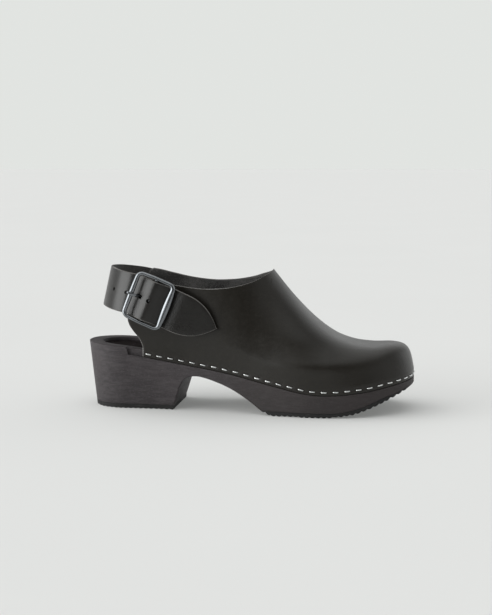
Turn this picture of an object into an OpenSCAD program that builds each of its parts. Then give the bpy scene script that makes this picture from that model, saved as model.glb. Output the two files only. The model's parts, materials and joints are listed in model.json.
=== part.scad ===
// Slingback clog for the right foot: one-piece wooden sole with a block heel,
// a leather upper stapled into a rabbet round the sole, and a buckled heel strap.
// +X points to the toe, -Y to the outer side of the foot, +Z up.
// The origin is on the floor, under the middle of the shoe.

/* [Sole] */
// Length of the wooden sole from heel to toe
sole_l = 252; // [248:1:256]
// Depth of the rabbet that the upper sits in
rabbet_d = 2.2; // [2.2:0.1:2.6]
// Height of the rabbet, from its ledge to the footbed's edge
rabbet_h = 5.4; // [4.6:0.2:6]
// Depth of the heel cup carved into the footbed
cup_depth = 4; // [2:0.5:5]
// Thickness of the rubber under the forefoot and the heel
rubber_t = 3.2; // [2.8:0.2:4]

/* [Upper] */
// Thickness of the upper's leather
leather_t = 2; // [1.8:0.1:2]
// Number of staples round the edge of the upper
staple_count = 54; // [46:2:60]
// Diameter of the staple wire
staple_d = 1; // [0.8:0.1:1.2]

/* [Heel strap] */
// Width of the heel strap
strap_w = 31; // [28:0.5:31]
// Thickness of the heel strap
strap_t = 2; // [1.6:0.1:2]
// Diameter of the punched holes
hole_d = 2.4; // [2:0.2:3]

/* [Buckle] */
// Outer length of the buckle frame, along the strap
frame_l = 32.5; // [32:0.5:33]
// Outer width of the buckle frame, across the strap
frame_w = 39; // [39:0.5:41]
// Diameter of the frame's wire
frame_d = 3.4; // [3:0.1:3.4]
// Diameter of the centre bar that the frame turns on
bar_d = 2.6; // [2.4:0.1:2.8]
// Turn of the frame about its centre bar at rest, so that it lies along the heel
frame_yaw = 5; // [4.5:0.5:5.5]

/* [Hidden] */
$fn = 48;
far = 200;          // longer than any part of the shoe's width or height
fit = 0.05;         // radial running clearance of a pin in its hole
lay = 0.1;          // gap between the leather and the wood it lies against

// Curves are lists of [station, value]; stations run from 0 at the heel to curve_l at the toe.
curve_l = 252;
toe_round = 64;
heel_round = 32;
lateral_w = [[0, 30.9], [40, 29.8], [85, 32.2], [130, 39], [170, 46.8], [200, 47.4], [230, 46.4],
    [252, 46.2]];
medial_w = [[0, 30.9], [40, 31.4], [85, 30.8], [130, 35], [170, 42], [200, 45], [230, 44.6], [252, 44.4]];
ledge_z = [[0, 44.8], [34, 42.4], [75, 36], [115, 29.6], [150, 21.9], [180, 16.6], [210, 18], [235, 22.2],
    [252, 25.4]];
tread_z = [[140, 0], [190, 0], [200, 0.9], [210, 3], [220, 6.4], [230, 10.6], [240, 15.2], [252, 20.8]];
arch_z = [[78, 22.5], [82, 25.6], [88, 26.8], [94, 26.2], [104, 23.4], [116, 18.6], [128, 11.6], [139.5, 3.2]];
breast = [[70.6, 0], [72.2, 8], [74.6, 16]];
ridge_z = [[36, 220], [80, 200], [110, 160], [130, 124], [144, 106.4], [160, 86.2], [175, 70.2],
    [190, 58.4], [205, 51.9], [220, 49.8], [235, 50.9], [252, 52]];
toe_lean = [[190, 0], [235, 0.13]];
topline_z = [[40, 102.2], [48, 101.4], [60, 98.7], [75, 95.5], [93, 93.4], [108, 93.8], [117, 95],
    [127, 97.3], [136, 100.8], [144, 105.6]];
rear_edge = [[42, 48], [49, 47.6], [54, 45.4], [59, 40.9], [63, 38], [67, 36.6], [72, 36.4], [88, 37.6],
    [96, 38.8], [100, 41], [102, 45]];
fullness = [[36, 2.5], [100, 2.4], [145, 2.1], [170, 2.6], [200, 3.4], [230, 5.5], [252, 5.5]];
tread_end = 247;    // station of the outsole's front end
throat = 144;       // station of the front of the opening
quarter = 48;       // station where the upper's lower edge starts
flare = 1.4;        // how far the quarters lean out over the waist
inner_lift = 1.6;   // how much higher the topline runs along the inner side
wall_h = 6;         // height of the upright foot of the upper

// The two strap rivets share one axis across the shoe.
pivot_s = 80;
pivot_z = 76;
rivet_r = 2;
rivet_head_r = 4.6;
chape_y = -34;      // face of the chape against the outer quarter
strap_far_y = 34;   // middle of the strap against the inner quarter

// The buckle stands in a frame of its own: u forward along the strap, n outward, w across.
bar_s = 54.7;
bar_y = -37.8;
bar_z = 84.6;
slope_a = 22;
frame_out = 2.4;    // how far the frame's plane lies outside the centre bar
chape_t = 1.2;
chape_w = 18;
tongue_w = 2.4;

// ---- curves ----
function x_at(s) = (s - curve_l / 2) * sole_l / curve_l;
function clip(t) = max(0, min(1, t));
function smooth(t) = let (c = clip(t)) c * c * (3 - 2 * c);
function span(p, s, i = 0) = i >= len(p) - 2 || s < p[i + 1][0] ? i : span(p, s, i + 1);
function slope(p, i) =
    let (a = max(0, i - 1), b = min(len(p) - 1, i + 1)) (p[b][1] - p[a][1]) / (p[b][0] - p[a][0]);
// Smooth cubic through the points of a curve, level beyond its ends
function curve(p, s) =
    let (i = span(p, s), h = p[i + 1][0] - p[i][0], t = clip((s - p[i][0]) / h))
    p[i][1] * (1 + 2 * t) * (1 - t) ^ 2 + p[i + 1][1] * t ^ 2 * (3 - 2 * t)
    + slope(p, i) * h * t * (1 - t) ^ 2 - slope(p, i + 1) * h * t ^ 2 * (1 - t);
function unit(v) = v / norm(v);
function cap(u, n) = u >= 1 ? 1 : (1 - (1 - max(0, u)) ^ n) ^ (1 / n);
function mid_y(s) = 5.2 * max(0, (s - 120) / 132) ^ 2;
function ends(s) = cap(s / heel_round, 2) * cap((curve_l - s) / toe_round, 2.25);
// Edge of the sole at a station, side -1 outer and 1 inner
function edge_y(s, side) = mid_y(s) + side * ends(s) * curve(side < 0 ? lateral_w : medial_w, s);
// An open run of points moved inward, to its left, by d
function inset(p, d) = [for (i = [0:len(p) - 1])
    let (t = unit(p[min(len(p) - 1, i + 1)] - p[max(0, i - 1)])) p[i] + d * [-t.y, t.x]];

// ---- sole ----
rim = 40;           // stations along each side of the sole's outline
function rim_s(i) = curve_l / 2 * (1 - cos(180 * i / rim));
function sole_run() = concat(
    [for (i = [0:rim]) [x_at(rim_s(i)), edge_y(rim_s(i), -1)]],
    [for (i = [rim - 1:-1:1]) [x_at(rim_s(i)), edge_y(rim_s(i), 1)]]);
function sole_inset(d) =
    let (p = sole_run(), n = len(p))
    [for (i = [0:n - 1]) let (t = unit(p[(i + 1) % n] - p[(i + n - 1) % n])) p[i] + d * [-t.y, t.x]];

// Ring of the sole's side wall at a height: the heel block narrows towards the floor
function wall_ring(z) =
    let (drop = 1 - z / 46)
    [for (i = [0:2 * rim - 1])
        let (
            side = i <= rim ? -1 : 1,
            s = rim_s(i <= rim ? i : 2 * rim - i),
            heel = 1 - smooth((s - 58) / 46),
            back = (1 - clip(s / 70)) ^ 2
        )
        [x_at(s) + 5 * drop * back, mid_y(s) + (edge_y(s, side) - mid_y(s)) * (1 - 0.13 * drop * heel), z]];

module wall_block(z0, z1) {
    n = 2 * rim;
    polyhedron(
        concat(wall_ring(z0), wall_ring(z1)),
        concat(
            [[for (i = [0:n - 1]) i], [for (i = [n - 1:-1:0]) n + i]],
            [for (i = [0:n - 1]) [i, n + i, n + (i + 1) % n]],
            [for (i = [0:n - 1]) [i, n + (i + 1) % n, (i + 1) % n]]));
}

// Everything inside an outline drawn on the shoe's side, in [x, z]
module side_cut(p) rotate([90, 0, 0]) translate([0, 0, -far / 2]) linear_extrude(far) polygon(p);

// Thickness of the outsole, feathered towards the toe
function rubber_at(s) = rubber_t - (rubber_t - 1.2) * smooth((s - 228) / 18);
function under_wood(from, to, step, dz = 0) =
    let (n = ceil((to - from) / step))
    [for (i = [0:n]) let (s = from + (to - from) * i / n) [x_at(s), curve(tread_z, s) + rubber_at(s) + dz]];
function along(p, from, to, step, dz = 0) =
    let (n = ceil((to - from) / step))
    [for (i = [0:n]) let (s = from + (to - from) * i / n) [x_at(s), curve(p, s) + dz]];
function back_to(p) = [for (i = [len(p) - 1:-1:0]) p[i]];
function over(run) = concat(run, [[run[len(run) - 1].x, far / 2], [run[0].x, far / 2]]);

sole_profile = concat(
    [[x_at(-9), rubber_t], [x_at(breast[0][0]), rubber_t]],
    [for (b = breast) if (b[1] > rubber_t) [x_at(b[0]), b[1]]],
    along(arch_z, 78, 139.5, 5),
    under_wood(145, tread_end, 6),
    along(tread_z, tread_end, 258, 4),
    back_to(along(ledge_z, -9, 258, 7, rabbet_h)));

module wooden_sole() color("#2b2828") difference() {
    intersection() {
        wall_block(0, 54);
        side_cut(sole_profile);
    }
    // rabbet for the upper
    intersection() {
        translate([0, 0, 1]) linear_extrude(far / 2) difference() {
            square(2 * far, center = true);
            polygon(sole_inset(rabbet_d));
        }
        side_cut(over(along(ledge_z, 34, 262, 6)));
    }
    // heel cup and footbed hollow
    intersection() {
        linear_extrude(far / 2) polygon(sole_inset(10));
        side_cut(over(along(ledge_z, -4, 150, 7, rabbet_h - cup_depth)));
    }
    for (n = nail_places) nail_at(n, 0.02);
}

module forefoot_outsole() color("#1c1b1b") difference() {
    intersection() {
        wall_block(-1, 54);
        side_cut(concat(
            [[x_at(147), 0]],
            along(tread_z, 190, tread_end, 6),
            back_to(under_wood(145, tread_end, 6, -0.01)),
            [[x_at(139.6), rubber_t - 0.01]]));
    }
    // tread bars where the sole lifts off the floor
    for (s = [202:6:240])
        translate([x_at(s), 0, curve(tread_z, s)]) rotate([0, -22, 0]) cube([1.6, far, 1.6], center = true);
    for (n = nail_places) if (n[0] > 100) nail_at(n, 0.02);
}

module heel_top_lift() color("#1c1b1b") difference() {
    intersection() {
        wall_block(0, 54);
        side_cut([[x_at(-9), 0], [x_at(breast[0][0]), 0], [x_at(breast[0][0]) + 0.6, rubber_t - 0.01],
            [x_at(-9), rubber_t - 0.01]]);
    }
    for (n = nail_places) if (n[0] < 100) nail_at(n, 0.02);
}

// Nails that hold the rubber, as [station, y, shank length]
nail_places = [[16, -12, 18], [16, 12, 18], [40, 0, 18], [60, -14, 18], [60, 14, 18],
    [150, -24, 9], [150, 0, 9], [150, 22, 9], [240, -16, 7], [240, 18, 7]];
nail_r = 1;
nail_head_r = 2.2;
nail_head_h = 0.8;
nail_sink = 1;      // depth of a nail's head below the tread

module nail_at(n, gap = 0) {
    translate([x_at(n[0]), n[1], curve(tread_z, n[0]) * (n[0] > 100 ? 1 : 0)]) {
        translate([0, 0, gap > 0 ? -2 : nail_sink])
            cylinder(r = nail_head_r + gap, h = nail_head_h + gap + (gap > 0 ? 2 + nail_sink : 0));
        translate([0, 0, nail_sink]) cylinder(r = nail_r + gap, h = n[2] + gap);
    }
}
module outsole_nails() color("#8c8c8c") for (n = nail_places) if (n[0] > 100) nail_at(n);
module top_lift_nails() color("#8c8c8c") for (n = nail_places) if (n[0] < 100) nail_at(n);

// ---- upper ----
rear_cols = 14;
toe_cols = 20;
half_cols = rear_cols + toe_cols;
rows = 16;
spine_from = 190;   // in front of this station the upper is gathered towards its ridge

function col_s(i) = i <= rear_cols
    ? quarter + (throat - quarter) * sin(90 * i / rear_cols)
    : throat + (curve_l - throat) * sin(90 * (i - rear_cols) / toe_cols);
function spine_s(s) =
    let (l = curve_l - spine_from, u = max(0, (s - spine_from) / l))
    s <= spine_from ? s : spine_from + l * (u - u * u / 2);
function root_z(s) = curve(ledge_z, s) + wall_h;
// Angle in a section at which the upper ends: at its topline, or at its ridge
function end_angle(s) =
    let (
        n = curve(fullness, s),
        t = min(1, (curve(topline_z, s) - root_z(s)) / (curve(ridge_z, s) - root_z(s)))
    )
    s >= throat ? 90 : atan2(t, (1 - t ^ n) ^ (1 / n));
// Angle in a section at a height v from 0 to 1, evenly spread over the front of the upper
function row_angle(s, v) = let (e = end_angle(s), w = min(90, 1.45 * e)) w * v - (w - e) * v ^ 3;
// Fractions [across, up] of a full rounded section at an angle
function section(s, a) =
    let (n = curve(fullness, spine_s(s)), r = (cos(a) ^ n + sin(a) ^ n) ^ (1 / n)) [cos(a) / r, sin(a) / r];
// Station of a column in a row, moved back or forward with the slanting rear edge
function shifted_s(s, v) =
    let (root = root_z(quarter), up = section(quarter, row_angle(quarter, v))[1])
    let (z = root + (curve(ridge_z, quarter) - root) * up)
    s + (curve(rear_edge, z) - quarter) * clip(1 - (s - quarter) / 60);

// One row of points round the upper, d inside its outer surface
function skin_row(j, d) =
    let (
        v = max(0, (j - 1) / (rows - 1)),
        st = [for (i = [0:half_cols]) shifted_s(col_s(i), v)],
        run = concat(
            [for (i = [0:half_cols]) [x_at(st[i]), edge_y(st[i], -1)]],
            [for (i = [half_cols - 1:-1:0]) [x_at(st[i]), edge_y(st[i], 1)]]),
        foot = inset(run, d)
    )
    [for (k = [0:2 * half_cols])
        let (
            s = st[k <= half_cols ? k : 2 * half_cols - k],
            side = k <= half_cols ? -1 : 1,
            f = section(s, row_angle(s, v)),
            c = [x_at(spine_s(s)), mid_y(spine_s(s))],
            p = c + (foot[k] - c) * f[0] * (1 - curve(toe_lean, s) * f[1]),
            top_s = p.x * curve_l / sole_l + curve_l / 2,
            lift = side > 0 ? inner_lift * v ^ 2 * (1 - smooth((s - throat + 12) / 12)) : 0,
            rise = (curve(ridge_z, top_s) - 1.15 * d - root_z(s)) * f[1],
            z = j == 0 ? curve(ledge_z, s) + lay : root_z(s) + rise + lift,
            out = side * flare * f[0] * (1 - smooth((s - 90) / 60)) * smooth((z - root_z(s)) / 30)
        )
        [p.x, p.y + out, z]];

// Closed shell between two grids of points; "open" columns at each end have a free top edge
module shell(outer, inner, open) {
    nr = len(outer);
    nc = len(outer[0]);
    points = [for (g = [outer, inner]) for (row = g) for (p = row) p];
    function o(j, k) = j * nc + k;
    function i(j, k) = (nr + j) * nc + k;
    function quad(a, b, c, d) = [[a, b, c], [a, c, d]];
    free = [for (k = [0:nc - 2]) if (k < open || k >= nc - 1 - open) k];
    polyhedron(points, concat(
        [for (j = [0:nr - 2]) for (k = [0:nc - 2])
            each quad(o(j, k), o(j + 1, k), o(j + 1, k + 1), o(j, k + 1))],
        [for (j = [0:nr - 2]) for (k = [0:nc - 2])
            each quad(i(j, k), i(j, k + 1), i(j + 1, k + 1), i(j + 1, k))],
        [for (k = [0:nc - 2]) each quad(o(0, k), o(0, k + 1), i(0, k + 1), i(0, k))],
        [for (k = free) each quad(o(nr - 1, k + 1), o(nr - 1, k), i(nr - 1, k), i(nr - 1, k + 1))],
        [for (j = [0:nr - 2]) each quad(o(j + 1, 0), o(j, 0), i(j, 0), i(j + 1, 0))],
        [for (j = [0:nr - 2]) each quad(o(j, nc - 1), o(j + 1, nc - 1), i(j + 1, nc - 1), i(j, nc - 1))]));
}

function skin(d, first_row = 0, cut = 0) = [for (j = [first_row:rows])
    let (row = skin_row(j, d)) [for (k = [cut:len(row) - 1 - cut]) row[k]]];

// Cylinder across the shoe on the strap's pivot axis
module on_pivot(y0, y1, r)
    translate([x_at(pivot_s), y0, pivot_z]) rotate([-90, 0, 0]) cylinder(r = r, h = y1 - y0);

module upper() color("#262423") difference() {
    shell(skin(lay), skin(lay + leather_t), rear_cols);
    on_pivot(-far / 2, far / 2, rivet_r + 0.02);
}

module toe_puff() color("#6b5a45")
    shell(skin(lay + leather_t + 0.15, 3, rear_cols + 9), skin(lay + leather_t + 1.1, 3, rear_cols + 9), 0);

// Staples: a flat crown outside and two legs into the wood
staple_crown = 5;
staple_leg = 5;
staple_up = 2.9;
module staple(p, dir) translate(p) rotate([0, 0, dir]) {
    rotate([0, 90, 0]) cylinder(d = staple_d, h = staple_crown, center = true, $fn = 16);
    for (e = [-1, 1]) translate([e * (staple_crown - staple_d) / 2, 0, 0])
        rotate([-90, 0, 0]) cylinder(d = staple_d, h = staple_leg, $fn = 16);
}
// Points along the upper's lower edge, with the running length to each
edge_steps = 120;
function edge_s(i) = let (a = i / edge_steps) a <= 1
    ? quarter + 4 + (curve_l - quarter - 4) * sin(90 * a)
    : quarter + 4 + (curve_l - quarter - 4) * sin(90 * (2 - a));
function edge_p(i) =
    let (s = edge_s(i), side = i <= edge_steps ? -1 : 1)
    [x_at(s), edge_y(s, side), curve(ledge_z, s) + staple_up];
edge_pts = [for (i = [0:2 * edge_steps]) edge_p(i)];
edge_len = [for (i = 0, l = 0; i <= 2 * edge_steps;
    l = l + (i < 2 * edge_steps ? norm(edge_pts[i + 1] - edge_pts[i]) : 0), i = i + 1) l];
function place(l, i = 0) = i >= len(edge_len) - 2 || l < edge_len[i + 1] ? i : place(l, i + 1);

module upper_staples() color("#c9ccd0") for (n = [0:staple_count - 1]) {
    l = edge_len[len(edge_len) - 1] * n / (staple_count - 1);
    i = place(l);
    t = (l - edge_len[i]) / (edge_len[i + 1] - edge_len[i]);
    step = edge_pts[i + 1] - edge_pts[i];
    a = atan2(step.y, step.x);
    p = edge_pts[i] + t * step;
    staple(p + (staple_d / 2 - 0.2) * [sin(a), -cos(a), 0], a);
}

// ---- heel strap ----
// Middle of the strap from its pointed end, round the heel, to the inner quarter: [station, y, z]
strap_mid = [[0, [105.8, -37.4, 64.1]], [1, [97, -37.9, 67.7]], [2, [88, -38.6, 71.3]], [3, [78, -38.9, 75.3]],
    [4, [68.4, -37.8, 79.2]], [5, [61.6, -39.6, 81.9]], [6, [54.7, -41.5, 84.6]], [7, [48, -37.8, 87]],
    [8, [41.7, -33.1, 88.9]], [9, [35, -31.8, 90.1]], [10, [27, -26.4, 91.4]], [11, [19.8, -16.5, 92.5]],
    [12, [15.6, -5.5, 93]], [13, [15.6, 6, 92.8]], [14, [19, 17.5, 92]], [15, [26, 28.2, 90.4]],
    [16, [34, 33.6, 88.8]], [17, [44, 34.7, 86.4]], [18, [56, strap_far_y, 83.4]],
    [19, [68, strap_far_y, 79.8]], [20, [80, strap_far_y, 76.2]], [21, [92, strap_far_y, 72.6]]];
// Tilt of the strap's width from upright, towards the toe
strap_tilt = [[0, 22], [7, 22], [9, 16], [12, 12.7], [16, 13.5], [18, 16.6], [21, 16.6]];
strap_last = 21;
strap_steps = 4;    // rings from one point of the route to the next
leaf_l = 3.2;       // length of the pointed end, in points of the route
round_l = 1.1;      // length of the rounded end

function strap_c(u) = let (p = curve(strap_mid, u)) [x_at(p.x), p.y, p.z];
function strap_across(u) = let (a = curve(strap_tilt, u)) [sin(a), 0, cos(a)];
function strap_out(u) = unit(cross(strap_c(u + 0.05) - strap_c(u - 0.05), strap_across(u)));
function strap_half(u) =
    max(0.3, strap_w / 2 * (1 - (1 - clip(u / leaf_l)) ^ 2.3) * cap((strap_last - u) / round_l, 2.5));
function strap_ring(u) =
    let (c = strap_c(u), w = strap_across(u) * strap_half(u), n = strap_out(clip_u(u)) * strap_t / 2)
    [c - w + n, c + w + n, c + w - n, c - w - n];
function clip_u(u) = max(0.05, min(strap_last - 0.05, u));

module strap_band() {
    us = concat([0, 0.1], [for (i = [1:strap_last * strap_steps - 1]) i / strap_steps],
        [strap_last - 0.1, strap_last]);
    n = len(us);
    polyhedron([for (u = us) each strap_ring(u)], concat(
        [[3, 2, 1, 0], [for (k = [0:3]) 4 * (n - 1) + k]],
        [for (i = [0:n - 2]) for (k = [0:3]) [4 * i + k, 4 * i + 4 + (k + 1) % 4, 4 * i + 4 + k]],
        [for (i = [0:n - 2]) for (k = [0:3]) [4 * i + k, 4 * i + (k + 1) % 4, 4 * i + 4 + (k + 1) % 4]]));
}
module through_strap(u) {
    n = strap_out(u);
    translate(strap_c(u)) rotate([0, acos(n.z), atan2(n.y, n.x)]) children();
}
strap_holes = [6, 8.85, 10.2];
module heel_strap() color("#262423") difference() {
    strap_band();
    for (u = strap_holes) through_strap(u) cylinder(d = hole_d, h = 3 * strap_t, center = true);
    // the tongue draws its own hole out to an oval
    at_frame() linear_extrude(tongue_w + 1.2, center = true)
        polygon([[-3.6, 1.5], [-4.2, -1], [-6.6, -3.2], [-8.5, -6.5], [-12.6, -6.5], [-11.5, -2], [-9.5, 3.5]]);
    on_pivot(strap_far_y - 5, strap_far_y + 5, rivet_r + fit);
}

// ---- buckle ----
module at_bar() translate([x_at(bar_s), bar_y, bar_z]) rotate([0, slope_a, 0]) children();
module at_frame() at_bar() rotate([0, 0, -frame_yaw]) children();

module buckle_frame() color("#5b6066") at_frame() {
    r = frame_d / 2;
    hl = frame_l / 2 - r;
    hw = frame_w / 2 - r;
    c = 2.8;
    translate([0, -frame_out, 0]) {
        for (e = [-1, 1]) {
            translate([e * hl, 0, 0]) cylinder(r = r, h = 2 * (hw - c), center = true);
            translate([0, 0, e * hw]) rotate([0, 90, 0]) cylinder(r = r, h = 2 * (hl - c), center = true);
        }
        for (q = [0:3]) rotate([90, 0, 0]) mirror([q % 2, 0, 0]) mirror([0, floor(q / 2), 0])
            translate([hl - c, hw - c, 0]) rotate_extrude(angle = 90) translate([c, 0]) circle(r);
    }
    cylinder(d = bar_d, h = 2 * hw, center = true);
}

eye_r = bar_d / 2 + 1;
module buckle_tongue() color("#5b6066") at_frame() difference() {
    union() {
        cylinder(r = eye_r, h = tongue_w, center = true);
        linear_extrude(tongue_w, center = true)
            polygon([[-1, 1.9], [-1, -0.8], [-6.5, 0.3], [-11.5, -5.3], [-17.2, -5.9], [-17.4, -4.7],
                [-17, -4.25], [-12, -4.2], [-8, 1.8]]);
    }
    cylinder(r = bar_d / 2 + fit, h = 2 * tongue_w, center = true);
}

module buckle_chape() color("#262423") difference() {
    at_bar() difference() {
        translate([0, 0, -chape_w / 2]) linear_extrude(chape_w) difference() {
            union() {
                circle(bar_d / 2 + chape_t);
                polygon([[-0.4, -2.4], [1.6, -1.9], [9, chape_y - bar_y - 2 * chape_t],
                    [33, chape_y - bar_y - 2 * chape_t], [33, chape_y - bar_y], [8, chape_y - bar_y],
                    [-0.4, 2.4]]);
            }
            circle(bar_d / 2 + fit);
        }
        // slot for the tongue
        cube([12, 12, tongue_w + 1], center = true);
    }
    on_pivot(chape_y - 5, chape_y + 5, rivet_r + fit);
}

// ---- rivets ----
chape_out_y = chape_y - 2 * chape_t;
module chape_rivet() color("#5b6066") {
    on_pivot(-29.8, -29, rivet_head_r);
    on_pivot(chape_out_y - 0.7, -29.4, rivet_r);
}
module chape_rivet_cap() color("#5b6066") difference() {
    on_pivot(chape_out_y - 0.8, chape_out_y - 0.1, rivet_head_r);
    on_pivot(chape_out_y - 0.72, chape_out_y, rivet_r + 0.01);
}
strap_out_y = strap_far_y + strap_t / 2;
module strap_rivet() color("#5b6066") {
    on_pivot(28.6, 29.4, rivet_head_r);
    on_pivot(29, strap_out_y + 0.8, rivet_r);
}
module strap_rivet_cap() color("#5b6066") difference() {
    on_pivot(strap_out_y + 0.1, strap_out_y + 1, rivet_head_r);
    on_pivot(strap_out_y, strap_out_y + 0.82, rivet_r + 0.01);
}

wooden_sole();
forefoot_outsole();
heel_top_lift();
outsole_nails();
top_lift_nails();
upper();
toe_puff();
upper_staples();
heel_strap();
buckle_frame();
buckle_tongue();
buckle_chape();
chape_rivet();
chape_rivet_cap();
strap_rivet();
strap_rivet_cap();
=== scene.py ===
"""Looks for the slingback clog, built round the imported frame. Lengths are in mm until a mesh is made."""

import json
import math
import random

import bmesh
import bpy
import numpy as np
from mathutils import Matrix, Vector

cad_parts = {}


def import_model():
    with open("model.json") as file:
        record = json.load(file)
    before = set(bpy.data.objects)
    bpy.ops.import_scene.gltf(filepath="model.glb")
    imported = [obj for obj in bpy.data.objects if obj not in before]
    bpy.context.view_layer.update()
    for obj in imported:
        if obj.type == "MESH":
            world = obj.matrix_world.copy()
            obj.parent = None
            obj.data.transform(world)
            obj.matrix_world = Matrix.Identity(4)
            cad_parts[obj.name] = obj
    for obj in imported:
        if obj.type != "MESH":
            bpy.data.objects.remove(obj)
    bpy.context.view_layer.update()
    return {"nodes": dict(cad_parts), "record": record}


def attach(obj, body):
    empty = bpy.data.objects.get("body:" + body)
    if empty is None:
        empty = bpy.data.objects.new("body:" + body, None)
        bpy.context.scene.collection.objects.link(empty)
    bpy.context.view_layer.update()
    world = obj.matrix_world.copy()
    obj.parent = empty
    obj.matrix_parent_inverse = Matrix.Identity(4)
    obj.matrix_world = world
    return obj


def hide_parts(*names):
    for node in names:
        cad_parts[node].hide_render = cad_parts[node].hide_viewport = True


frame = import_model()
scene = bpy.context.scene
MM = 0.001

# ---- curves, as in the CAD
# s is a station along the sole, 0 at the back of the heel and L at the toe; the curves are [s, value] points
L = 252.0
LATERAL_W = [[0, 30.9], [40, 29.8], [85, 32.2], [130, 39], [170, 46.8], [200, 47.4], [230, 46.4], [252, 46.2]]
MEDIAL_W = [[0, 30.9], [40, 31.4], [85, 30.8], [130, 35], [170, 42], [200, 45], [230, 44.6], [252, 44.4]]
LEDGE_Z = [[0, 44.8], [34, 42.4], [75, 36], [115, 29.6], [150, 21.9], [180, 16.6], [210, 18], [235, 22.2],
           [252, 25.4]]
TREAD_Z = [[140, 0], [190, 0], [200, 0.9], [210, 3], [220, 6.4], [230, 10.6], [240, 15.2], [252, 20.8]]
ARCH_Z = [[78, 22.5], [82, 25.6], [88, 26.8], [94, 26.2], [104, 23.4], [116, 18.6], [128, 11.6], [139.5, 3.2]]
BREAST = [[70.6, 3.2], [72.2, 8], [74.6, 16], [78, 22.5]]
RIDGE_Z = [[36, 220], [80, 200], [110, 160], [130, 124], [144, 106.4], [160, 86.2], [175, 70.2], [190, 58.4],
           [205, 51.9], [220, 49.8], [235, 50.9], [252, 52]]
TOE_LEAN = [[190, 0], [235, 0.13]]
TOPLINE_Z = [[40, 102.2], [48, 101.4], [60, 98.7], [75, 95.5], [93, 93.4], [108, 93.8], [117, 95],
             [127, 97.3], [136, 100.8], [144, 105.6]]
REAR_EDGE = [[42, 48], [49, 47.6], [54, 45.4], [59, 40.9], [63, 38], [67, 36.6], [72, 36.4], [88, 37.6],
             [96, 38.8], [100, 41], [102, 45]]
FULLNESS = [[36, 2.5], [100, 2.4], [145, 2.1], [170, 2.6], [200, 3.4], [230, 5.5], [252, 5.5]]
# the rabbet that the upper sits in, which starts at RABBET_FROM
RABBET_D, RABBET_H, RABBET_FROM, RABBET_OVER = 2.2, 5.4, 34.6, 1.4
# the forefoot rubber, which thins out to TIP_T over THIN_OVER from THIN_FROM on
RUBBER_T, TIP_T, THIN_FROM, THIN_OVER, TREAD_FROM, ARCH_END, TREAD_END = 3.2, 1.2, 228, 18, 139.6, 145, 247.0
THROAT, QUARTER, WALL_H, FLARE, SPINE_FROM, INNER_LIFT = 144.0, 48.0, 6.0, 1.4, 190.0, 1.6
LEATHER_T, LAY = 2.0, 0.1


def curve(points, s):
    """Smooth cubic through [station, value] points, level beyond its ends. Values may be vectors."""
    p = np.array([q[0] for q in points], float)
    v = np.array([q[1] for q in points], float)
    wide = v.ndim > 1
    m = np.empty_like(v)
    gap = p[2:] - p[:-2]
    m[1:-1] = (v[2:] - v[:-2]) / (gap[:, None] if wide else gap)
    m[0], m[-1] = (v[1] - v[0]) / (p[1] - p[0]), (v[-1] - v[-2]) / (p[-1] - p[-2])
    s = np.asarray(s, float)
    i = np.clip(np.searchsorted(p, s, side="right") - 1, 0, len(p) - 2)
    h = p[i + 1] - p[i]
    t = np.clip((s - p[i]) / h, 0, 1)
    if wide:
        h, t = h[..., None], t[..., None]
    return (v[i] * (1 + 2 * t) * (1 - t) ** 2 + v[i + 1] * t ** 2 * (3 - 2 * t)
            + m[i] * h * t * (1 - t) ** 2 - m[i + 1] * h * t ** 2 * (1 - t))


def smooth(t):
    """Eased step from 0 to 1."""
    t = np.clip(t, 0, 1)
    return t * t * (3 - 2 * t)


def cap(u, n):
    """Rounded end of an outline: 0 at u = 0, full width from u = 1."""
    return np.where(np.asarray(u) >= 1, 1.0, (1 - (1 - np.clip(u, 0, 1)) ** n) ** (1 / n))


def x_at(s):
    return s - L / 2


def mid_y(s):
    """The sole's middle line, which swings inwards in front."""
    return 5.2 * np.maximum(0, (s - 120) / 132) ** 2


def edge_y(s, side):
    """Edge of the sole at stations s; side is an array of -1 (outer) and 1 (inner)."""
    ends = cap(s / 32, 2) * cap((L - s) / 64, 2.25)
    return mid_y(s) + side * ends * np.where(side < 0, curve(LATERAL_W, s), curve(MEDIAL_W, s))


def unit(v):
    return v / np.maximum(np.linalg.norm(v, axis=-1, keepdims=True), 1e-9)


# ---- meshes
def mesh_object(name, verts, faces, mats, face_mats=None, sharp=40):
    """A welded mesh object in metres from points in mm."""
    me = bpy.data.meshes.new(name)
    me.from_pydata((np.asarray(verts, float) * MM).tolist(), [], [tuple(int(i) for i in f) for f in faces])
    if face_mats is not None:
        me.polygons.foreach_set("material_index", np.asarray(face_mats, np.int32))
    for m in mats:
        me.materials.append(m)
    bm = bmesh.new()
    bm.from_mesh(me)
    bmesh.ops.remove_doubles(bm, verts=bm.verts, dist=2e-6)
    bmesh.ops.recalc_face_normals(bm, faces=bm.faces)
    soften(bm, sharp)
    bm.to_mesh(me)
    bm.free()
    ob = bpy.data.objects.new(name, me)
    scene.collection.objects.link(ob)
    return ob


def soften(bm, sharp):
    """Shades smooth except across edges sharper than the given angle."""
    limit = math.radians(sharp)
    for f in bm.faces:
        f.smooth = True
    for e in bm.edges:
        e.smooth = len(e.link_faces) != 2 or e.calc_face_angle(0) < limit


def grid_faces(rows, cols, start=0, closed=False):
    """Quads of a grid of points stored row by row."""
    out = []
    for j in range(rows - 1):
        for k in range(cols if closed else cols - 1):
            n = (k + 1) % cols
            a, b = start + j * cols, start + (j + 1) * cols
            out.append((a + k, a + n, b + n, b + k))
    return out


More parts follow.
